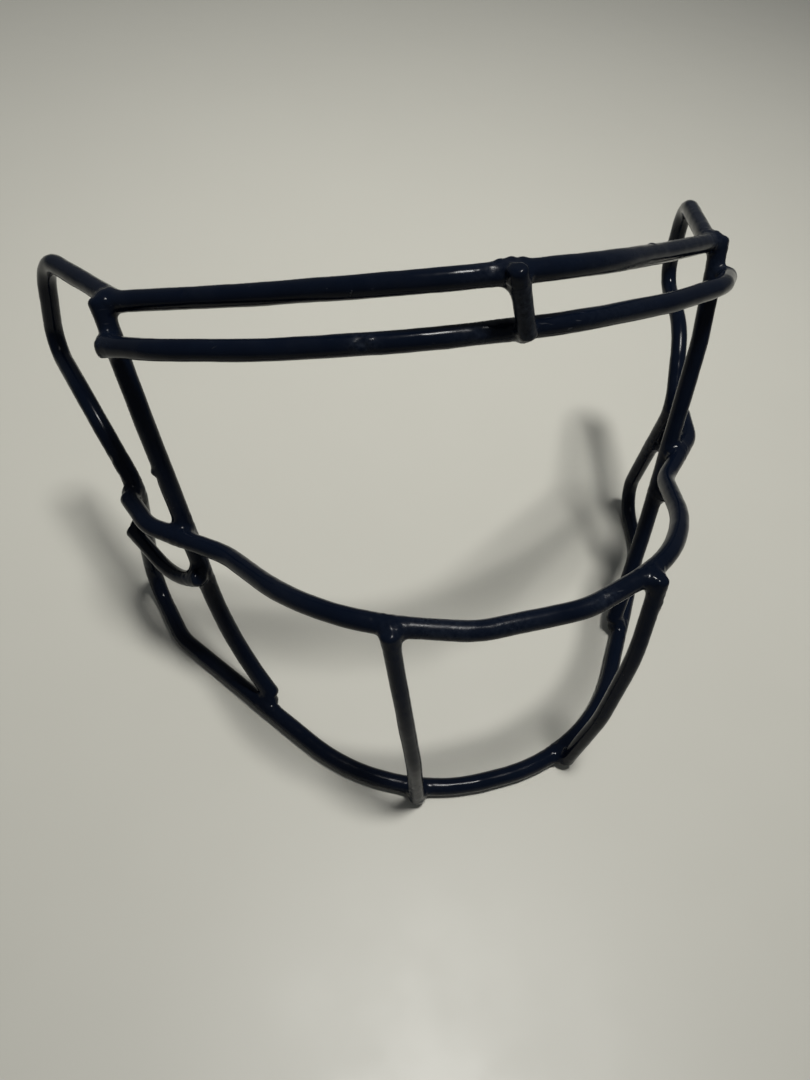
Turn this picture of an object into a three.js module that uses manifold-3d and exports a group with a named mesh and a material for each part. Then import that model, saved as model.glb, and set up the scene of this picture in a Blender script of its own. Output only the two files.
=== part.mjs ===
// A bare wire face guard: ten bent steel wires, welded into a cage and dipped in a skin of plastic.
// Millimetres, +Z up. It stands on its jaw with its front towards -Y, and X = 0 is its plane of symmetry.
import * as THREE from "three";
import { mergeVertices } from "three/addons/utils/BufferGeometryUtils.js";
import Module from "manifold-3d";

const wasm = await Module();
wasm.setup();

// Driving dimensions.
const HEAVY_WIRE = 5.2; // steel diameter of the perimeter and the long bars
const LIGHT_WIRE = 4.2; // steel diameter of the posts and stubs
const COAT = 0.7; // thickness of the plastic skin, with its fit to the steel
const GAP = 0.3; // clearance between pieces that touch
const SIDES = 8; // flats on a wire's section
const BEND_STEP = THREE.MathUtils.degToRad(26); // most turn between two sections in a bend
const CHORD_ERROR = 0.4; // most that the straight run between two sections may cut a bend's corner by
const WELD_SPREAD = 0.8; // how much wider a weld bead's radius is than the thinner wire's
const BUTT_WELD_WIDTH = 1.6; // weld metal that closes the perimeter into a ring
const SEAM_OVERLAP = 1; // how far each half of the ring runs past the plane of symmetry
const SEARCH_STEP = 0.5; // spacing of the points that find where two wires touch
const SEARCH_REACH = 20; // how far from its hint a joint may lie

// A section keeps the area of a round wire, so its corners lie a little outside and its flats inside.
const WEDGE = (2 * Math.PI) / SIDES;
const CORNER_RATIO = Math.sqrt(WEDGE / Math.sin(WEDGE));
const FLAT_RATIO = CORNER_RATIO * Math.cos(WEDGE / 2);

// The jaw lies flat, so its centre line is one coated flat above the floor.
const JAW_Z = (HEAVY_WIRE / 2 + COAT) * FLAT_RATIO;

// One row of a bend table: a corner of the wire's centre line, and the radius it is bent to.
const bend = (x, y, z, radius = 0) => ({ at: new THREE.Vector3(x, y, z), radius });

// The perimeter's +X half, from the middle of the chin round to the middle of the brow.
const PERIMETER_HALF = [
  bend(0, -88, JAW_Z),
  bend(22, -88, JAW_Z, 75), // chin
  bend(55, -70.5, JAW_Z, 75), // chin, outside the post
  bend(76.5, -40.5, JAW_Z, 60), // jaw, outside the side bar
  bend(107.5, 2.5, JAW_Z, 25), // jaw
  bend(116, 36, JAW_Z, 14), // back corner of the jaw
  bend(112, 25.5, 73.5, 12), // cheek
  bend(124, 54.5, 93.5, 45), // up to the foot of the temple loop
  bend(134, 88.5, 93.5, 10), // foot of the temple loop
  bend(128.7, 87, 132.5, 18), // temple corner
  bend(104.3, 35.6, 147.4, 10), // brow corner
  bend(68, 12.5, 161.5, 130), // brow, over the eye
  bend(26, -15.5, 180, 70), // crown of the brow
  bend(0, -15.5, 180),
];
const LOWER_BROW_HALF = [
  bend(23, -17, 162, 80),
  bend(66, -3.5, 154, 120),
  bend(95, 9.5, 148, 32),
  bend(111.2, 26.6, 138.4),
];
const MOUTH_BAR_HALF = [
  bend(18.5, -77, 100.5, 45),
  bend(51, -67, 101.5, 50),
  bend(71, -46, 93, 75),
  bend(85, -15.5, 78.5, 24),
  bend(110, 7.5, 73.5, 15),
  bend(115.5, 23, 72.5),
];
const SIDE_BAR = [
  bend(109.8, 37, 148),
  bend(104, 18.5, 116, 22),
  bend(89, -16.5, 30, 135),
  bend(76.2, -33.7, 6.4),
];
const CHEEK_STUB = [
  bend(117.5, 26, 49.5),
  bend(104.5, -1, 51, 32),
  bend(95.6, -10.6, 60.7),
];
const MOUTH_POST = [
  bend(44.4, -73.4, 103.2),
  bend(40.5, -83.5, 72.5, 105),
  bend(35.5, -88.5, 39, 80),
  bend(31, -88, 4.5),
];
const BROW_POST = [
  bend(-0.3, -20.6, 184.6),
  bend(6.3, -22.4, 163.6),
];

const flipped = (table) => table.map(({ at, radius }) => ({ at: at.clone().setX(-at.x), radius }));
const acrossFrom = (half) => [...flipped(half).reverse(), ...half];

// A place along a wire's centre line where its section is set.
const station = (point, tangent) => ({ point, tangent });

// Stations on the arc that rounds one corner of a bend table.
function bendArc(corner, into, out) {
  const turn = into.angleTo(out);
  const chordTurn = 2 * Math.acos(1 - CHORD_ERROR / corner.radius);
  const steps = Math.ceil(turn / Math.min(BEND_STEP, chordTurn));
  const axis = into.clone().cross(out).normalize();
  const inward = axis.clone().cross(into);
  const start = corner.at.clone().addScaledVector(into, -corner.radius * Math.tan(turn / 2));
  const centre = start.clone().addScaledVector(inward, corner.radius);
  const stations = [];
  for (let i = 0; i <= steps; i++) {
    const spin = new THREE.Quaternion().setFromAxisAngle(axis, (turn * i) / steps);
    const point = start.clone().sub(centre).applyQuaternion(spin).add(centre);
    stations.push(station(point, into.clone().applyQuaternion(spin)));
  }
  return stations;
}

// The stations of a whole bend table: its two ends, and every bend's arc.
function stationsOf(table) {
  const heading = (i) => table[i + 1].at.clone().sub(table[i].at).normalize();
  const last = table.length - 1;
  const stations = [station(table[0].at, heading(0))];
  for (let i = 1; i < last; i++) {
    stations.push(...bendArc(table[i], heading(i - 1), heading(i)));
  }
  stations.push(station(table[last].at, heading(last - 1)));
  return stations;
}

// The centre line of a bent wire. Its parameter runs from station to station,
// so that a straight stretch takes no more sections than it needs.
class BentWire extends THREE.Curve {
  constructor(stations) {
    super();
    this.stations = stations;
  }

  get steps() {
    return this.stations.length - 1;
  }

  stationAt(u) {
    return this.stations[Math.round(u * this.steps)];
  }

  getPointAt(u, target = new THREE.Vector3()) {
    return target.copy(this.stationAt(u).point);
  }

  // Carries the section's frame along the wire without twist, starting with one flat level.
  computeFrenetFrames() {
    const tangents = this.stations.map((s) => s.tangent);
    const upright = Math.abs(tangents[0].z) > 0.9;
    const normals = [];
    let normal = upright ? new THREE.Vector3(0, 1, 0) : new THREE.Vector3(0, 0, 1);
    let before = tangents[0];
    for (const tangent of tangents) {
      const turn = new THREE.Quaternion().setFromUnitVectors(before, tangent);
      normal = normal.clone().applyQuaternion(turn);
      normal.addScaledVector(tangent, -normal.dot(tangent)).normalize();
      normals.push(normal);
      before = tangent;
    }
    const binormals = tangents.map((tangent, i) => tangent.clone().cross(normals[i]));
    return { tangents, normals, binormals };
  }

  // The same centre line with both ends moved outwards.
  extended(length) {
    const stations = [...this.stations];
    const [first, last] = [stations[0], stations.at(-1)];
    stations[0] = station(first.point.clone().addScaledVector(first.tangent, -length), first.tangent);
    stations[this.steps] = station(last.point.clone().addScaledVector(last.tangent, length), last.tangent);
    return new BentWire(stations);
  }

  // Points along the centre line, close enough together to find where it touches another wire.
  samples() {
    const points = [];
    for (let i = 0; i < this.steps; i++) {
      const from = this.stations[i].point;
      const to = this.stations[i + 1].point;
      const count = Math.ceil(from.distanceTo(to) / SEARCH_STEP);
      for (let k = 0; k <= count; k++) {
        points.push(from.clone().lerp(to, k / count));
      }
    }
    return points;
  }
}

// A wire of the cage: its name, its steel radius and the paths that it follows. The perimeter has
// two paths, one for each half, which run into each other; every other wire has one.
function makeWire(name, diameter, ...tables) {
  return {
    name,
    radius: diameter / 2,
    paths: tables.map((table) => new BentWire(stationsOf(table))),
  };
}

function makePair(name, diameter, table) {
  return [
    makeWire(`${name}_right`, diameter, table),
    makeWire(`${name}_left`, diameter, flipped(table)),
  ];
}

const perimeter = makeWire("perimeter", HEAVY_WIRE, PERIMETER_HALF, flipped(PERIMETER_HALF));
const lowerBrow = makeWire("lower_brow_bar", HEAVY_WIRE, acrossFrom(LOWER_BROW_HALF));
const mouthBar = makeWire("mouth_bar", HEAVY_WIRE, acrossFrom(MOUTH_BAR_HALF));
const browPost = makeWire("brow_post", LIGHT_WIRE, BROW_POST);
const sideBars = makePair("side_bar", HEAVY_WIRE, SIDE_BAR);
const cheekStubs = makePair("cheek_stub", LIGHT_WIRE, CHEEK_STUB);
const mouthPosts = makePair("mouth_post", LIGHT_WIRE, MOUTH_POST);
const wires = [perimeter, lowerBrow, mouthBar, browPost, ...sideBars, ...cheekStubs, ...mouthPosts];

// Where two wires are welded: the pair, and a point near the joint.
function jointsOf(side, index) {
  const name = (place) => `weld_${place}_${side > 0 ? "right" : "left"}`;
  const near = (x, y, z) => new THREE.Vector3(side * x, y, z);
  const [sideBar, cheekStub, mouthPost] = [sideBars[index], cheekStubs[index], mouthPosts[index]];
  return [
    { name: name("brow_corner"), pair: [perimeter, sideBar], hint: near(106, 35, 148) },
    { name: name("lower_brow"), pair: [lowerBrow, sideBar], hint: near(108, 22, 141) },
    { name: name("mouth_bar_middle"), pair: [mouthBar, sideBar], hint: near(100, 0, 73) },
    { name: name("mouth_bar_end"), pair: [mouthBar, perimeter], hint: near(114, 20, 75) },
    { name: name("stub_back"), pair: [cheekStub, perimeter], hint: near(117, 30, 47) },
    { name: name("stub_front"), pair: [cheekStub, sideBar], hint: near(97, -10, 57) },
    { name: name("side_bar_foot"), pair: [sideBar, perimeter], hint: near(80, -34, 5) },
    { name: name("post_top"), pair: [mouthPost, mouthBar], hint: near(45, -74, 103) },
    { name: name("post_foot"), pair: [mouthPost, perimeter], hint: near(32, -88, 5) },
  ];
}

const joints = [
  ...jointsOf(1, 0),
  ...jointsOf(-1, 1),
  { name: "weld_brow_post_top", pair: [browPost, perimeter], hint: new THREE.Vector3(0, -18, 181) },
  { name: "weld_brow_post_foot", pair: [browPost, lowerBrow], hint: new THREE.Vector3(3, -22, 165) },
];

// The middle of the shortest line between two wires near the joint's hint.
function touchPoint({ pair, hint }) {
  const nearby = ({ paths }) =>
    paths.flatMap((path) => path.samples()).filter((point) => point.distanceTo(hint) < SEARCH_REACH);
  const [ones, others] = pair.map(nearby);
  let closest = Infinity;
  let middle = hint;
  for (const one of ones) {
    for (const other of others) {
      const distance = one.distanceTo(other);
      if (distance < closest) {
        closest = distance;
        middle = one.clone().lerp(other, 0.5);
      }
    }
  }
  return middle;
}

function solidOf(geometry) {
  const bare = geometry.clone();
  bare.deleteAttribute("normal");
  bare.deleteAttribute("uv");
  const merged = mergeVertices(bare);
  const triVerts = new Uint32Array(merged.index.array);
  const vertProperties = merged.attributes.position.array;
  return new wasm.Manifold(new wasm.Mesh({ numProp: 3, vertProperties, triVerts }));
}

// A regular section, with one flat facing along the frame's normal.
function wireSection(radius) {
  const corners = [];
  for (let i = 0; i < SIDES; i++) {
    const angle = (i + 0.5) * WEDGE;
    corners.push(new THREE.Vector2(Math.cos(angle), Math.sin(angle)).multiplyScalar(radius * CORNER_RATIO));
  }
  return new THREE.Shape(corners);
}

// A solid bar along a wire, with each free end moved outwards by endLength.
function barOf(wire, radius, endLength = 0) {
  const reach = wire.paths.length > 1 ? SEAM_OVERLAP : endLength;
  const bars = wire.paths.map((path) => {
    const extrudePath = path.extended(reach);
    const settings = { steps: extrudePath.steps, extrudePath, bevelEnabled: false };
    return solidOf(new THREE.ExtrudeGeometry(wireSection(radius), settings));
  });
  return bars.reduce((all, one) => all.add(one));
}

function ball(centre, radius) {
  return solidOf(new THREE.IcosahedronGeometry(radius, 1).translate(centre.x, centre.y, centre.z));
}

// A bead of weld round the point where two wires touch, made larger by some clearance.
function weldBead(joint, clearance = 0) {
  const thinner = Math.min(...joint.pair.map((wire) => wire.radius));
  return ball(touchPoint(joint), thinner + WELD_SPREAD + clearance);
}

// A slab across the plane of symmetry at the crown, where the perimeter's two ends meet.
function crownSlab(width) {
  const { at } = PERIMETER_HALF.at(-1);
  const side = 4 * HEAVY_WIRE;
  return solidOf(new THREE.BoxGeometry(width, side, side).translate(at.x, at.y, at.z));
}

const sum = (solids) => solids.reduce((all, one) => all.add(one));

// The hollows that the steel and the welds take out of what surrounds them.
const steelHollow = sum(wires.map((wire) => barOf(wire, wire.radius + GAP, GAP)));
const weldHollow = sum(joints.map((joint) => weldBead(joint, GAP)));

// Welding presses two wires a little into each other: each wire is notched for the ones before it.
function steelSolid(wire, index) {
  const cuts = wires.slice(0, index).map((other) => barOf(other, other.radius + GAP, GAP));
  if (wire === perimeter) cuts.push(crownSlab(BUTT_WELD_WIDTH + 2 * GAP));
  return barOf(wire, wire.radius).subtract(sum(cuts));
}

// A wire's skin: a sleeve over its steel, cut back where the skin of an earlier wire covers the joint.
function coatSolid(wire, index) {
  const covers = wires.slice(0, index).map((other) => barOf(other, other.radius + COAT + GAP, COAT + GAP));
  return barOf(wire, wire.radius + COAT, COAT).subtract(sum([steelHollow, weldHollow, ...covers]));
}

function weldSolid(joint) {
  return weldBead(joint).subtract(steelHollow);
}

function buttWeldSolid() {
  return barOf(perimeter, perimeter.radius).intersect(crownSlab(BUTT_WELD_WIDTH));
}

const surface = (color, roughness, metalness) =>
  new THREE.MeshStandardMaterial({ color, roughness, metalness });
const steelMaterial = () => surface(0x8c8f92, 0.45, 1);
const weldMaterial = () => surface(0x6f6a66, 0.6, 1);
const coatMaterial = () => surface(0x10131f, 0.25, 0);

// A named mesh of a solid's largest body; a cut may leave flakes of skin beside it, which are dropped.
function meshOf(name, solid, material) {
  const [body] = solid.decompose().sort((one, other) => other.volume() - one.volume());
  const { vertProperties, triVerts } = body.getMesh();
  const geometry = new THREE.BufferGeometry();
  geometry.setAttribute("position", new THREE.BufferAttribute(vertProperties, 3));
  geometry.setIndex(new THREE.BufferAttribute(triVerts, 1));
  geometry.computeVertexNormals();
  const mesh = new THREE.Mesh(geometry, material);
  mesh.name = name;
  return mesh;
}

const group = new THREE.Group();
wires.forEach((wire, index) => {
  group.add(meshOf(`${wire.name}_steel`, steelSolid(wire, index), steelMaterial()));
  group.add(meshOf(`${wire.name}_coat`, coatSolid(wire, index), coatMaterial()));
});
for (const joint of joints) {
  group.add(meshOf(joint.name, weldSolid(joint), weldMaterial()));
}
group.add(meshOf("weld_perimeter_butt", buttWeldSolid(), weldMaterial()));

export default group;
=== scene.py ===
# The looks of a wire face guard: one glossy dipped skin over ten welded steel wires, on a pale floor.
import math

import bpy
import numpy as np
from mathutils import Matrix, Vector


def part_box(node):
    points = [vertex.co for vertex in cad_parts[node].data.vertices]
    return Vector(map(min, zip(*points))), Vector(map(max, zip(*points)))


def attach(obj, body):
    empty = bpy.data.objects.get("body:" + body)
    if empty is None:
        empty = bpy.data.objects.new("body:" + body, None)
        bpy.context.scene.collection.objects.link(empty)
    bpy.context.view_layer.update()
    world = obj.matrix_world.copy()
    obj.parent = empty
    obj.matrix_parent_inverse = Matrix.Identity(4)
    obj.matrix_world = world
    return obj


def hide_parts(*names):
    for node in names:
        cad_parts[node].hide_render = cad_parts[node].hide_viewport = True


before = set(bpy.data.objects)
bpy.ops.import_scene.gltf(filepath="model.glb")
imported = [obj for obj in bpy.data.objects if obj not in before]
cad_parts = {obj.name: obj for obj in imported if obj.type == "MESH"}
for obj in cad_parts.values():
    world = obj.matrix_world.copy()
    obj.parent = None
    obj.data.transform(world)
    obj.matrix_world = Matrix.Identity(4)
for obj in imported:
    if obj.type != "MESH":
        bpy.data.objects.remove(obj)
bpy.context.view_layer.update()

# ---------------------------------------------------------------- sizes, in metres unless a name says mm
MM = 0.001
HEAVY_STEEL = 2.6 * MM  # radius of the perimeter and the long bars
LIGHT_STEEL = 2.1 * MM  # radius of the posts and stubs
COAT = 0.7 * MM  # thickness of the dipped skin
JAW_Z = 3.21  # mm, height of the jaw bar's centre line: the CAD jaw's flats lie on the floor
ARC_STEP = 1.0 * MM  # spacing of centre-line points in a bend
SEARCH_STEP = 0.5 * MM  # spacing of the points that find where two wires touch
SEARCH_REACH = 20 * MM  # how far from its CAD weld a joint may lie
VOXEL = 0.65 * MM  # mesh size of the skin
FAT = 0.3 * MM  # how much thicker the rough tubes are, so that no pocket is left between two wires
TUBE_SIDES = 14  # flats on a rough tube's section
BLEND = 0.5 * MM  # how widely the skin rounds over where two wires pass close by
POOL_BLEND = 1.7 * MM  # the same at a weld, where the wet skin pooled
POOL_REACH = 8 * MM  # how far from a weld the skin pooled
BEAD_BLEND = 0.2 * MM  # the same where a wire meets a weld bead
WELD_SPREAD = 0.8 * MM  # how much wider a weld bead's radius is than the thinner wire's
WELD_COVER = 0.2 * MM  # least thickness of the skin over a weld bead
RELAX_ROUNDS = 4  # rounds that even out the skin's mesh
RELAX_PULL = 0.7  # how far a point moves towards the middle of its neighbours in one round
SETTLE_ROUNDS = 3  # rounds that bring the skin's mesh on to its shape after that
WIRE_REACH = 6 * MM  # how far from a wire's skin a point still feels the wire
BEAD_REACH = 4 * MM  # the same for a weld bead
NEARBY = 4  # segments each way along a centre line in which a moved point's nearest one is looked for
BATCH = 4000  # points that are searched at a time
TINY = 1e-12  # added to lengths that are divided by, so that none is zero


def bend(x, y, z, radius=0):
    """One row of a bend table, in millimetres: a corner of the centre line and its bend radius."""
    return (x, y, z, radius)


# The bend tables of the CAD model, +X half.
PERIMETER_HALF = [
    bend(0, -88, JAW_Z),
    bend(22, -88, JAW_Z, 75),  # chin
    bend(55, -70.5, JAW_Z, 75),  # chin, outside the post
    bend(76.5, -40.5, JAW_Z, 60),  # jaw, outside the side bar
    bend(107.5, 2.5, JAW_Z, 25),  # jaw
    bend(116, 36, JAW_Z, 14),  # back corner of the jaw
    bend(112, 25.5, 73.5, 12),  # cheek
    bend(124, 54.5, 93.5, 45),  # up to the foot of the temple loop
    bend(134, 88.5, 93.5, 10),  # foot of the temple loop
    bend(128.7, 87, 132.5, 18),  # temple corner
    bend(104.3, 35.6, 147.4, 10),  # brow corner
    bend(68, 12.5, 161.5, 130),  # brow, over the eye
    bend(26, -15.5, 180, 70),  # crown of the brow
    bend(0, -15.5, 180),
]
LOWER_BROW_HALF = [
    bend(23, -17, 162, 80),
    bend(66, -3.5, 154, 120),
    bend(95, 9.5, 148, 32),
    bend(111.2, 26.6, 138.4),
]
MOUTH_BAR_HALF = [
    bend(18.5, -77, 100.5, 45),
    bend(51, -67, 101.5, 50),
    bend(71, -46, 93, 75),
    bend(85, -15.5, 78.5, 24),
    bend(110, 7.5, 73.5, 15),
    bend(115.5, 23, 72.5),
]
SIDE_BAR = [
    bend(109.8, 37, 148),
    bend(104, 18.5, 116, 22),
    bend(89, -16.5, 30, 135),
    bend(76.2, -33.7, 6.4),
]
CHEEK_STUB = [
    bend(117.5, 26, 49.5),
    bend(104.5, -1, 51, 32),
    bend(95.6, -10.6, 60.7),
]
MOUTH_POST = [
    bend(44.4, -73.4, 103.2),
    bend(40.5, -83.5, 72.5, 105),
    bend(35.5, -88.5, 39, 80),
    bend(31, -88, 4.5),
]
BROW_POST = [
    bend(-0.3, -20.6, 184.6),
    bend(6.3, -22.4, 163.6),
]

# Radius of the edge round a wire's end: round ends are nearly half balls, cut ends are nearly square.
ROUND_END = 2.0 * MM
SOFT_END = 1.6 * MM
CUT_END = 0.45 * MM


def mark(x, y, z, radius, height):
    """One flaw in the skin, in millimetres: a lump, or a pit where the height is negative."""
    return (x, y, z, radius, height)


MARKS = [
    mark(-2.6, -13.6, 182.9, 1.5, 0.7),  # spatter over the brow post's weld
    mark(0.8, -13.0, 182.7, 1.7, 1.1),
    mark(4.2, -13.4, 182.5, 1.6, 0.8),
    mark(1.2, -18.8, 183.2, 1.2, 0.5),
    mark(-6.0, -17.2, 182.8, 1.1, -0.3),
    mark(-9.5, -16.8, 182.9, 1.3, 0.25),
    mark(-6.4, -19.2, 164.4, 1.2, -0.35),
    mark(-3.2, -18.6, 164.9, 1.0, 0.3),
    mark(-9.6, -18.8, 164.4, 1.3, 0.25),
    mark(-39.8, -14.4, 160.9, 1.3, -0.55),  # a scuff on the lower brow bar, with its rim
    mark(-42.0, -13.3, 160.2, 1.0, 0.45),
    mark(-37.9, -14.3, 161.9, 0.9, 0.45),
    mark(60.0, 9.3, 167.4, 1.2, 0.5),  # lump on the brow
    mark(-84.6, 21.6, 157.6, 1.0, -0.3),  # nick in the brow
    mark(-104.2, 10.0, 97.2, 1.2, 1.0),  # scar on the side bar
    mark(-103.6, 8.8, 94.4, 1.1, -0.45),
    mark(-119.3, 35.0, 81.5, 1.0, -0.5),  # pits on the cheek
    mark(-117.9, 30.0, 77.0, 1.0, -0.5),
    mark(-112.3, 22.6, 136.6, 1.3, 0.5),  # drips off the lower brow bar's ends
    mark(-108.6, 18.4, 136.6, 1.2, 0.3),
    mark(112.4, 23.2, 136.4, 1.3, 0.45),
    mark(23.4, -76.4, 103.6, 1.4, -0.3),  # dent in the mouth bar
    mark(46.2, -77.6, 95.5, 1.3, 0.5),  # crumbs on the right post's edge
]


def rub_and_sheen(x, y, z, radius, strength):
    """One rubbed patch of skin, in millimetres, paler and duller the stronger it is. At the brow corner
    and the temple the paler tone is also a painted sheen.
    """
    return (x, y, z, radius, strength)


RUBS_AND_SHEEN = [
    rub_and_sheen(3.0, -24, 175, 6, 1.0),  # brow post
    rub_and_sheen(5.2, -25, 167, 5, 0.9),
    rub_and_sheen(-8, -19, 165, 7, 0.5),
    rub_and_sheen(-8, -17, 183, 7, 0.4),
    rub_and_sheen(-40, -15, 161, 4, 0.9),
    rub_and_sheen(38, -9, 174, 22, 0.25),
    rub_and_sheen(-34, -91, 32, 12, 0.25),  # left post, towards its foot
    rub_and_sheen(-32, -92, 14, 11, 0.5),
    rub_and_sheen(-28, -75, 104, 12, 0.6),  # mouth bar
    rub_and_sheen(-8, -79, 103, 9, 0.45),
    rub_and_sheen(24, -77, 104, 6, 0.6),
    rub_and_sheen(111, 27, 138, 7, 0.7),  # lower brow bar's ends
    rub_and_sheen(-111, 24, 138, 5, 0.6),
    rub_and_sheen(104, 32, 149, 5, 0.6),  # brow corner: worn duller, and painted paler as a sheen where the bend catches a grazing reflection
    rub_and_sheen(116, 55, 143, 8, 0.25),  # temple: duller, and painted paler as a reflection of the pale band along the temple return
]

# The right mouth post's outer edge is ragged from here to here, in millimetres.
RAGGED_EDGE = ((46.3, -76.2, 97.5), (37.2, -89.2, 31.6))


# ---------------------------------------------------------------- centre lines
def unit(v):
    return v / np.linalg.norm(v)


def flipped(table):
    return [(-x, y, z, radius) for x, y, z, radius in table]


def across(half):
    return flipped(half)[::-1] + half


def centre_line(table):
    """The points of a bent wire's centre line: straight stretches, and arcs in short steps."""
    rows = np.array(table, float) * MM
    corners, radii = rows[:, :3], rows[:, 3]
    points = [corners[0]]
    for i in range(1, len(rows) - 1):
        into = unit(corners[i] - corners[i - 1])
        out = unit(corners[i + 1] - corners[i])
        turn = math.acos(np.clip(into @ out, -1, 1))
        start = corners[i] - into * radii[i] * math.tan(turn / 2)
        side = unit(np.cross(np.cross(into, out), into))
        steps = max(2, math.ceil(radii[i] * turn / ARC_STEP))
        for angle in np.linspace(0, turn, steps + 1):
            points.append(start + radii[i] * (math.sin(angle) * into + (1 - math.cos(angle)) * side))
    points.append(corners[-1])
    return np.array(points)


class Wire:
    """A coated wire: its centre line, and what its skin does at a point."""

    def __init__(self, name, steel, table, ends=(SOFT_END, SOFT_END), closed=False):
        self.name = name
        self.radius = steel + COAT
        self.ends = ends
        self.closed = closed
        points = centre_line(table)
        if not closed:
            points[0] -= unit(points[1] - points[0]) * COAT
            points[-1] += unit(points[-1] - points[-2]) * COAT
        self.points = points
        self.starts = points[:-1]
        self.steps = np.diff(points, axis=0)
        self.squares = (self.steps**2).sum(1)

    def nearest(self, p, guess=None):
        """Each point's nearest segment and place on the centre line. A guess keeps the search near."""
        last = len(self.starts) - 1
        if guess is None:
            everywhere = np.arange(last + 1)[None, :]
            batches = np.array_split(p, len(p) // BATCH + 1)
            found = [self._among(batch, everywhere) for batch in batches]
            return tuple(np.concatenate(values) for values in zip(*found))
        around = guess[:, None] + np.arange(-NEARBY, NEARBY + 1)[None, :]
        around = around % (last + 1) if self.closed else np.clip(around, 0, last)
        return self._among(p, around)

    def _among(self, p, segments):
        starts, steps = self.starts[segments], self.steps[segments]
        share = ((p[:, None] - starts) * steps).sum(2) / self.squares[segments]
        places = starts + np.clip(share, 0, 1)[..., None] * steps
        best = ((p[:, None] - places) ** 2).sum(2).argmin(1)
        rows = np.arange(len(p))
        chosen = segments[rows if len(segments) > 1 else np.zeros_like(rows), best]
        return chosen, places[rows, best]

    def skin(self, p, guess=None):
        """Distance outside the skin, the direction away from it, and the nearest segment."""
        segment, place = self.nearest(p, guess)
        away = p - place
        reach = np.linalg.norm(away, axis=1) + TINY
        direction = away / reach[:, None]
        distance = reach - self.radius
        if not self.closed:
            for tip, inner, edge in ((0, 1, self.ends[0]), (-1, -2, self.ends[1])):
                self._round_tip(p, distance, direction, self.points[tip], self.points[inner], edge)
        return distance, direction, segment

    def _round_tip(self, p, distance, direction, tip, inner, edge):
        """Gives the wire's end a flat face with a rounded edge, in place of a half ball."""
        outward = unit(tip - inner)
        offset = p - tip
        beyond = offset @ outward
        radial = offset - beyond[:, None] * outward
        width = np.linalg.norm(radial, axis=1) + TINY
        near = (beyond > -edge) & (np.linalg.norm(offset, axis=1) < 3 * self.radius)
        side = width[near] - (self.radius - edge)
        face = beyond[near] + edge
        radial_unit = radial[near] / width[near][:, None]
        corner = np.hypot(np.maximum(side, 0), np.maximum(face, 0)) + TINY
        distance[near] = np.minimum(np.maximum(side, face), 0) + corner - edge
        blend = np.maximum(side, 0)[:, None] * radial_unit + np.maximum(face, 0)[:, None] * outward
        flat = np.where((side > face)[:, None], radial_unit, outward)
        outside = (np.maximum(side, face) > 0)[:, None]
        direction[near] = np.where(outside, blend / corner[:, None], flat)


def pair(name, steel, table, ends):
    return [
        Wire(f"{name}_right", steel, table, ends),
        Wire(f"{name}_left", steel, flipped(table), ends),
    ]


chin_middle = PERIMETER_HALF[0]
right_corners = PERIMETER_HALF[1:-1]
left_corners = flipped(right_corners)[::-1]
ring = [chin_middle, *right_corners, *left_corners, chin_middle]
perimeter = Wire("perimeter", HEAVY_STEEL, ring, closed=True)
lower_brow = Wire("lower_brow_bar", HEAVY_STEEL, across(LOWER_BROW_HALF), (ROUND_END, ROUND_END))
mouth_bar = Wire("mouth_bar", HEAVY_STEEL, across(MOUTH_BAR_HALF), (SOFT_END, SOFT_END))
brow_post = Wire("brow_post", LIGHT_STEEL, BROW_POST, (SOFT_END, SOFT_END))
side_bars = pair("side_bar", HEAVY_STEEL, SIDE_BAR, (ROUND_END, SOFT_END))
cheek_stubs = pair("cheek_stub", LIGHT_STEEL, CHEEK_STUB, (CUT_END, SOFT_END))
mouth_posts = pair("mouth_post", LIGHT_STEEL, MOUTH_POST, (SOFT_END, CUT_END))
wires = [perimeter, lower_brow, mouth_bar, brow_post, *side_bars, *cheek_stubs, *mouth_posts]


# ---------------------------------------------------------------- welds
def weld_centre(node):
    low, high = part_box(node)
    return np.array((low + high) / 2)


def touching(one, other, near):
    """The middle of the shortest line between two wires, close to a point."""
    ones = dense(one)
    others = dense(other)
    ones = ones[np.linalg.norm(ones - near, axis=1) < SEARCH_REACH]
    others = others[np.linalg.norm(others - near, axis=1) < SEARCH_REACH]
    gaps = np.linalg.norm(ones[:, None] - others[None], axis=2)
    i, j = np.unravel_index(gaps.argmin(), gaps.shape)
    return (ones[i] + others[j]) / 2


def dense(wire):
    """Centre-line points at most one search step apart."""
    parts = []
    for start, step in zip(wire.starts, wire.steps):
        length = max(np.linalg.norm(step), SEARCH_STEP)
        shares = np.arange(0, 1, SEARCH_STEP / length)
        parts.append(start + step * shares[:, None])
    return np.vstack(parts)


def weld_beads():
    """Each CAD weld bead's middle, where its two wires touch, and the radius of the skin over it."""
    middles, reaches = [], []
    for name in sorted(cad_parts):
        if not name.startswith("weld_") or name == "weld_perimeter_butt":
            continue
        near = weld_centre(name)
        one, other = sorted(wires, key=lambda wire: wire.skin(near[None])[0][0] + wire.radius)[:2]
        middles.append(touching(one, other, near))
        reaches.append(min(one.radius, other.radius) - COAT + WELD_SPREAD + WELD_COVER)
    return np.array(middles), np.array(reaches)


welds, weld_reaches = weld_beads()


# ---------------------------------------------------------------- the skin's shape
class Lumps:
    """Smooth random unevenness with one typical spacing: a sum of plane waves."""

    def __init__(self, spacing, seed, waves=14):
        rng = np.random.default_rng(seed)
        directions = rng.normal(size=(waves, 3))
        directions /= np.linalg.norm(directions, axis=1)[:, None]
        self.waves = directions * (2 * math.pi / spacing) * rng.uniform(0.7, 1.3, waves)[:, None]
        self.phases = rng.uniform(0, 2 * math.pi, waves)

    def __call__(self, p):
        return np.sin(p @ self.waves.T + self.phases).sum(1) * math.sqrt(2 / len(self.phases))


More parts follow.
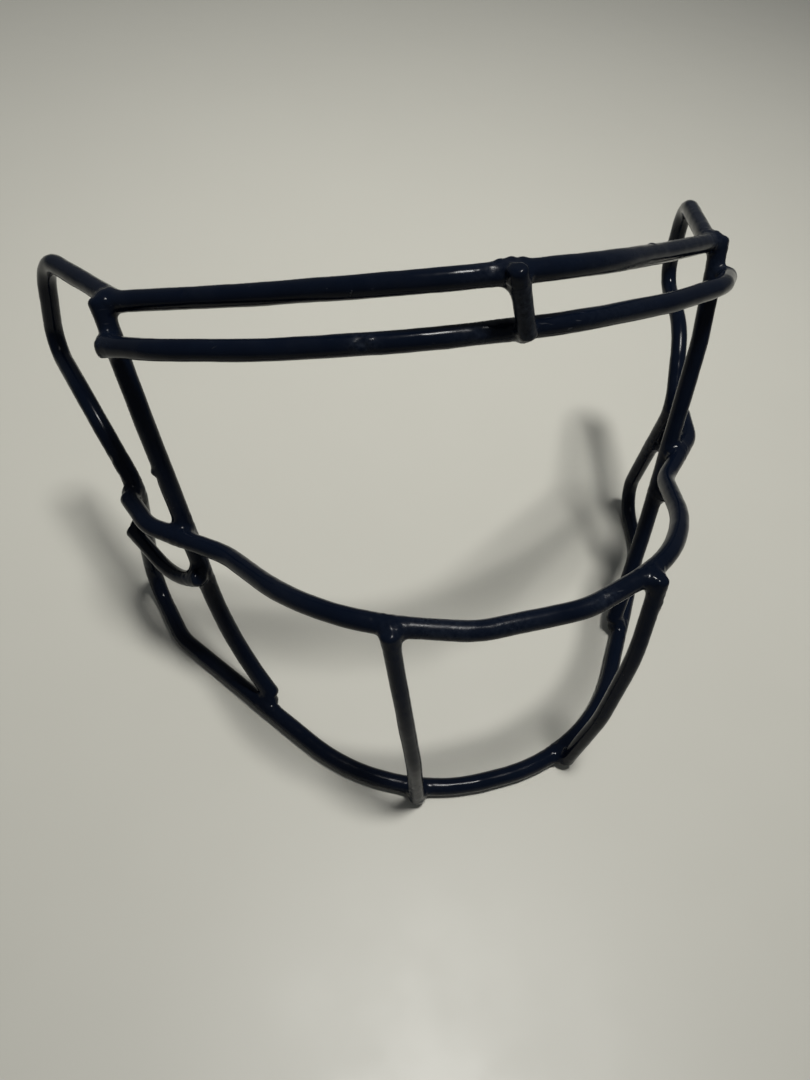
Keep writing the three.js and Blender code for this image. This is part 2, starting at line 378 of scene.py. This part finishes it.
sag_lumps = Lumps(16 * MM, 1)
coat_lumps = Lumps(5 * MM, 2)
weld_lumps = Lumps(2.6 * MM, 3)

# Heights of the unevenness, in millimetres.
SAG_HEIGHT = 0.03
COAT_HEIGHT = 0.012
WELD_HEIGHT = 0.09
WELD_SWELLING = 0.06
WELD_FADE = 6 * MM  # how far from a weld its lumps reach
EDGE_FADE = 1.5 * MM  # the same for the ragged edge


def fade(distance, radius):
    """From 1 at a place to 0 away from it."""
    return np.exp(-((distance / radius) ** 2))


def gap_to(p, x, y, z):
    return np.linalg.norm(p - np.array([x, y, z]) * MM, axis=1)


def along_edge(p):
    """Nearness to the ragged edge, from 0 to 1."""
    start, end = np.array(RAGGED_EDGE) * MM
    share = np.clip((p - start) @ (end - start) / ((end - start) @ (end - start)), 0, 1)
    return fade(np.linalg.norm(p - start - share[:, None] * (end - start), axis=1), EDGE_FADE)


def weld_gap(p):
    """Each point's distance from the nearest weld's middle."""
    return np.linalg.norm(p[:, None] - welds[None], axis=2).min(1)


def unevenness(p):
    """How far the dipped skin stands proud of its even thickness."""
    height = SAG_HEIGHT * sag_lumps(p) + COAT_HEIGHT * coat_lumps(p)
    height += fade(weld_gap(p), WELD_FADE) * (WELD_HEIGHT * weld_lumps(p) + WELD_SWELLING)
    for x, y, z, radius, rise in MARKS:
        height += rise * fade(gap_to(p, x, y, z), radius * MM)
    height += along_edge(p) * np.clip(0.32 * weld_lumps(p) + 0.1 * coat_lumps(p), -0.3, 0.6)
    return height * MM


def rubbed_and_sheen(p):
    """How rubbed the skin is, from 0 to 1. At the brow corner and the temple it also carries a painted
    sheen.
    """
    amount = 0.5 * along_edge(p)
    for x, y, z, radius, strength in RUBS_AND_SHEEN:
        amount = np.maximum(amount, strength * fade(gap_to(p, x, y, z), radius * MM))
    return amount


class Skin:
    """The dipped skin as a distance field: a soft union of the coated wires and the weld beads."""

    def __init__(self, p):
        pooled = fade(weld_gap(p), POOL_REACH)
        self.blend = BLEND + (POOL_BLEND - BLEND) * pooled
        self.near = []
        for wire in wires:
            distance, _, segment = wire.skin(p)
            rows = np.flatnonzero(distance < WIRE_REACH)
            self.near.append((wire, rows, segment[rows]))
        self.beads = []
        for weld, reach in zip(welds, weld_reaches):
            rows = np.flatnonzero(np.linalg.norm(p - weld, axis=1) < reach + BEAD_REACH)
            self.beads.append((weld, reach, rows))

    def __call__(self, p):
        """The distance of each point outside the skin, and the direction away from it."""
        weight = np.zeros(len(p))
        slope = np.zeros_like(p)
        for i, (wire, rows, guess) in enumerate(self.near):
            distance, direction, segment = wire.skin(p[rows], guess)
            self.near[i] = (wire, rows, segment)
            share = np.exp(-distance / self.blend[rows])
            weight[rows] += share
            slope[rows] += share[:, None] * direction
        depth = -self.blend * np.log(weight)
        slope /= weight[:, None]
        for weld, reach, rows in self.beads:
            offset = p[rows] - weld
            distance = np.linalg.norm(offset, axis=1) + TINY
            direction = offset / distance[:, None]
            bead_share = 1 / (1 + np.exp((distance - reach - depth[rows]) / BEAD_BLEND))
            depth[rows] += BEAD_BLEND * np.log1p(-bead_share)
            slope[rows] += bead_share[:, None] * (direction - slope[rows])
        slope /= np.linalg.norm(slope, axis=1)[:, None]
        return depth - unevenness(p), slope


def unit_rows(rows):
    return rows / np.linalg.norm(rows, axis=1)[:, None]


def tube(wire):
    """A plain tube round a wire, as vertices and faces."""
    sides = TUBE_SIDES
    points = wire.points[:-1] if wire.closed else wire.points
    ahead = np.roll(points, -1, axis=0) - points
    behind = points - np.roll(points, 1, axis=0)
    if not wire.closed:
        ahead[-1], behind[0] = behind[-1], ahead[0]
    tangents = unit_rows(ahead) + unit_rows(behind)
    angles = np.arange(sides) * 2 * math.pi / sides
    rings = []
    normal = Vector((0.3, 0.5, 0.8))
    for point, tangent in zip(points, tangents):
        along = Vector(tangent).normalized()
        normal = (normal - along * normal.dot(along)).normalized()
        across_both = along.cross(normal)
        for angle in angles:
            outward = np.array(normal * math.cos(angle) + across_both * math.sin(angle))
            rings.append(point + (wire.radius + FAT) * outward)
    count = len(points)
    faces = []
    for i in range(count if wire.closed else count - 1):
        here, there = i * sides, (i + 1) % count * sides
        for k in range(sides):
            faces.append((here + k, here + (k + 1) % sides, there + (k + 1) % sides, there + k))
    if not wire.closed:
        faces.append(tuple(range(sides))[::-1])
        faces.append(tuple(range((count - 1) * sides, count * sides)))
    return rings, faces


def mesh_object(name, vertices, faces):
    mesh = bpy.data.meshes.new(name)
    mesh.from_pydata([tuple(v) for v in vertices], [], faces)
    mesh.update()
    made = bpy.data.objects.new(name, mesh)
    bpy.context.scene.collection.objects.link(made)
    return made


def rough_skin():
    """Every tube in one object, fused by a voxel remesh."""
    vertices, faces = [], []
    for wire in wires:
        rings, quads = tube(wire)
        offset = len(vertices)
        vertices += rings
        faces += [tuple(offset + i for i in quad) for quad in quads]
    made = mesh_object("dipped_skin", vertices, faces)
    remesh = made.modifiers.new("fuse", "REMESH")
    remesh.mode = "VOXEL"
    remesh.voxel_size = VOXEL
    remesh.adaptivity = 0
    graph = bpy.context.evaluated_depsgraph_get()
    fused = bpy.data.meshes.new_from_object(made.evaluated_get(graph))
    made.modifiers.clear()
    made.data = fused
    return made


def shape_skin(made):
    """Moves the fused mesh on to the skin's distance field, and evens out its faces."""
    mesh = made.data
    p = np.empty(len(mesh.vertices) * 3, np.float32)
    mesh.vertices.foreach_get("co", p)
    p = p.reshape(-1, 3).astype(float)
    edges = np.empty(len(mesh.edges) * 2, np.int32)
    mesh.edges.foreach_get("vertices", edges)
    ends = np.concatenate([edges.reshape(-1, 2), edges.reshape(-1, 2)[:, ::-1]])
    count = np.bincount(ends[:, 0], minlength=len(p))[:, None]
    skin = Skin(p)
    for _ in range(RELAX_ROUNDS):
        distance, slope = skin(p)
        p -= distance[:, None] * slope
        mean = np.stack([np.bincount(ends[:, 0], p[ends[:, 1], k], len(p)) for k in range(3)], 1) / count
        pull = mean - p
        p += RELAX_PULL * (pull - (pull * slope).sum(1)[:, None] * slope)
    for _ in range(SETTLE_ROUNDS):
        distance, slope = skin(p)
        p -= distance[:, None] * slope
    p[:, 2] = np.maximum(p[:, 2], 0)
    mesh.vertices.foreach_set("co", p.astype(np.float32).ravel())
    rub_and_sheen_layer = mesh.attributes.new("rub_and_sheen", "FLOAT", "POINT")
    rub_and_sheen_layer.data.foreach_set("value", rubbed_and_sheen(p).astype(np.float32))
    mesh.shade_smooth()
    mesh.update()


# ---------------------------------------------------------------- materials
class Nodes:
    """A material's node tree, with short calls for the nodes that it uses."""

    def __init__(self, name):
        self.material = bpy.data.materials.new(name)
        self.material.use_nodes = True
        self.tree = self.material.node_tree
        self.shader = self.tree.nodes["Principled BSDF"]
        self.place = self.add("ShaderNodeTexCoord").outputs["Object"]

    def add(self, kind, inputs=(), **settings):
        node = self.tree.nodes.new(kind)
        for key, value in settings.items():
            setattr(node, key, value)
        for key, value in dict(inputs).items():
            self.feed(node.inputs[key], value)
        return node

    def feed(self, socket, value):
        if isinstance(value, bpy.types.NodeSocket):
            self.tree.links.new(value, socket)
        else:
            socket.default_value = value

    def noise(self, spacing, detail=3.0, roughness=0.55, stretch=None):
        """Noise from about 0 to 1 whose features lie that many metres apart."""
        place = self.place
        if stretch:
            place = self.add("ShaderNodeMapping", {"Vector": place, "Scale": stretch}).outputs[0]
        inputs = {"Vector": place, "Scale": 1 / spacing, "Detail": detail, "Roughness": roughness}
        return self.add("ShaderNodeTexNoise", inputs).outputs["Fac"]

    def ramp(self, value, low, high, to_low=0.0, to_high=1.0):
        inputs = {"Value": value, "From Min": low, "From Max": high, "To Min": to_low, "To Max": to_high}
        return self.add("ShaderNodeMapRange", inputs, interpolation_type="SMOOTHSTEP").outputs["Result"]

    def math(self, operation, one, other):
        return self.add("ShaderNodeMath", {0: one, 1: other}, operation=operation).outputs[0]

    def mix(self, factor, one, other):
        node = self.add("ShaderNodeMix", {"Factor": factor}, data_type="RGBA")
        self.feed(node.inputs[6], one)
        self.feed(node.inputs[7], other)
        return node.outputs[2]

    def bump(self, height, depth, normal=None):
        inputs = {"Height": height, "Strength": 1.0, "Distance": depth}
        if normal is not None:
            inputs["Normal"] = normal
        return self.add("ShaderNodeBump", inputs).outputs["Normal"]


def skin_material():
    """Dark navy dipped plastic: glossy, with a thin film of dust, fine scratches and rubbed patches. Two
    of these patches, at the right brow corner and the temple, are painted paler as a sheen.
    """
    n = Nodes("navy_dipped_plastic")
    rub_and_sheen_amount = n.add("ShaderNodeAttribute", attribute_name="rub_and_sheen").outputs["Fac"]
    grain = n.ramp(n.noise(1.4 * MM, 4, 0.65), 0.3, 0.75)
    rubbed_and_sheen_grain = n.math("MULTIPLY", rub_and_sheen_amount, grain)
    dust = n.ramp(n.noise(19 * MM, 4, 0.6), 0.48, 0.8, 0.0, 0.08)
    hairs = n.ramp(n.noise(0.9 * MM, 2, 0.5, stretch=(0.12, 1.0, 0.6)), 0.66, 0.74)
    patches = n.ramp(n.noise(14 * MM, 2), 0.55, 0.7)
    scratches = n.math("MULTIPLY", hairs, patches)
    plain = n.mix(n.noise(9 * MM, 3), (0.0015, 0.0032, 0.0085, 1), (0.0032, 0.0060, 0.0140, 1))
    dusty = n.mix(dust, plain, (0.035, 0.038, 0.045, 1))
    # Rubbed patches are paler. At the right brow corner and the temple this paler tone is a painted
    # sheen.
    rubbed_and_sheen_tone = n.mix(n.math("MULTIPLY", rubbed_and_sheen_grain, 0.4), dusty, (0.040, 0.050, 0.070, 1))
    scratched = n.mix(n.math("MULTIPLY", scratches, 0.3), rubbed_and_sheen_tone, (0.09, 0.095, 0.105, 1))
    n.feed(n.shader.inputs["Base Color"], scratched)
    smears = n.ramp(n.noise(8 * MM, 4, 0.6), 0.3, 0.75, 0.11, 0.24)
    dulled = n.math("ADD", smears, n.math("MULTIPLY", dust, 0.5))
    worn = n.math("ADD", dulled, n.math("MULTIPLY", rub_and_sheen_amount, 0.22))
    n.feed(n.shader.inputs["Roughness"], n.math("ADD", worn, n.math("MULTIPLY", scratches, 0.2)))
    ripple = n.bump(n.noise(3.5 * MM, 2, 0.5), 0.01 * MM)
    fine = n.bump(n.noise(0.8 * MM, 3, 0.5), 0.002 * MM, ripple)
    wear = n.bump(rubbed_and_sheen_grain, 0.06 * MM, fine)
    n.feed(n.shader.inputs["Normal"], n.bump(scratches, 0.015 * MM, wear))
    n.shader.inputs["IOR"].default_value = 1.5
    n.shader.inputs["Specular IOR Level"].default_value = 0.12
    return n.material


def steel_material():
    """Drawn steel wire: dull grey, with fine marks along it and a little brown bloom."""
    n = Nodes("drawn_steel")
    bloom = n.ramp(n.noise(6 * MM, 4), 0.5, 0.75, 0.0, 0.5)
    n.feed(n.shader.inputs["Base Color"], n.mix(bloom, (0.36, 0.36, 0.37, 1), (0.2, 0.14, 0.1, 1)))
    n.feed(n.shader.inputs["Roughness"], n.ramp(n.noise(2 * MM, 4), 0.3, 0.7, 0.32, 0.55))
    n.feed(n.shader.inputs["Normal"], n.bump(n.noise(0.5 * MM, 3), 0.01 * MM))
    n.shader.inputs["Metallic"].default_value = 1.0
    return n.material


def weld_material():
    """Resistance weld metal: darkened by heat, with a rough skin of scale."""
    n = Nodes("weld_scale")
    heat = n.noise(1.5 * MM, 4)
    n.feed(n.shader.inputs["Base Color"], n.mix(heat, (0.11, 0.09, 0.085, 1), (0.26, 0.25, 0.26, 1)))
    n.feed(n.shader.inputs["Roughness"], n.ramp(heat, 0.3, 0.7, 0.5, 0.8))
    n.feed(n.shader.inputs["Normal"], n.bump(n.noise(0.4 * MM, 4), 0.05 * MM))
    n.shader.inputs["Metallic"].default_value = 0.9
    return n.material


def floor_material():
    """A plain pale floor with a satin finish and the faintest unevenness."""
    n = Nodes("pale_floor")
    tone = n.mix(n.noise(0.25, 4), (0.512, 0.503, 0.448, 1), (0.542, 0.533, 0.476, 1))
    n.feed(n.shader.inputs["Base Color"], tone)
    n.feed(n.shader.inputs["Roughness"], n.ramp(n.noise(0.03, 3), 0.3, 0.7, 0.36, 0.41))
    n.feed(n.shader.inputs["Normal"], n.bump(n.noise(1.2 * MM, 2), 0.012 * MM))
    n.shader.inputs["Specular IOR Level"].default_value = 0.3
    return n.material


# ---------------------------------------------------------------- the object's pieces
def make_skin():
    skin = rough_skin()
    shape_skin(skin)
    skin.data.materials.clear()
    skin.data.materials.append(skin_material())
    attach(skin, "root")
    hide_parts(*(f"{wire.name}_coat" for wire in wires))


def finish_metal():
    """Gives the CAD wires and welds inside the skin their metals."""
    steel, weld = steel_material(), weld_material()
    for name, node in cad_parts.items():
        if name.endswith("_coat"):
            continue
        node.data.materials.clear()
        node.data.materials.append(weld if name.startswith("weld_") else steel)


# ---------------------------------------------------------------- the studio
def make_camera():
    """The camera looks down on the guard from its front left, and is a little rolled."""
    data = bpy.data.cameras.new("camera")
    data.sensor_width = 36
    data.lens = 27.17
    data.clip_start = 0.01
    camera = bpy.data.objects.new("camera", data)
    camera.location = (-0.0896, -0.190, 0.3057)
    right = Vector((0.9582, -0.2752, 0.0781))
    down = Vector((-0.1706, -0.7688, -0.6163))
    forward = Vector((0.2297, 0.5772, -0.7836))
    camera.rotation_euler = Matrix((right, -down, -forward)).transposed().to_euler()
    bpy.context.scene.collection.objects.link(camera)
    bpy.context.scene.camera = camera


def make_floor():
    half = 8.0  # half of the floor's side
    corners = [(-half, -half, 0), (half, -half, 0), (half, half, 0), (-half, half, 0)]
    floor = mesh_object("floor", corners, [(0, 1, 2, 3)])
    floor.data.materials.append(floor_material())


def area_light(name, location, target, size, spread, watts, colour):
    """A round lamp that points at a target. Its spread is in degrees."""
    data = bpy.data.lights.new(name, "AREA")
    data.shape = "DISK"
    data.size = size
    data.spread = math.radians(spread)
    data.energy = watts
    data.color = colour
    light = bpy.data.objects.new(name, data)
    light.location = location
    light.rotation_euler = (Vector(target) - Vector(location)).to_track_quat("-Z", "Y").to_euler()
    bpy.context.scene.collection.objects.link(light)


def make_lights():
    """One soft ceiling lamp: a beam that fades towards the picture's corners, and an even spill."""
    lamp = (0.27, -0.06, 2.56)
    target = (0.065, 0.218, 0)
    width = 0.5
    warm = (1.0, 0.99, 0.965)
    area_light("ceiling_lamp", lamp, target, width, spread=42.3, watts=3.12, colour=warm)
    area_light("ceiling_lamp_spill", lamp, target, width, spread=180, watts=9, colour=warm)
    world = bpy.data.worlds.new("studio")
    world.use_nodes = True
    world.node_tree.nodes["Background"].inputs["Color"].default_value = (0.93, 0.97, 1.0, 1)
    world.node_tree.nodes["Background"].inputs["Strength"].default_value = 0.13
    bpy.context.scene.world = world
    bpy.context.scene.view_settings.view_transform = "Standard"


make_camera()
make_skin()
finish_metal()
make_floor()
make_lights()
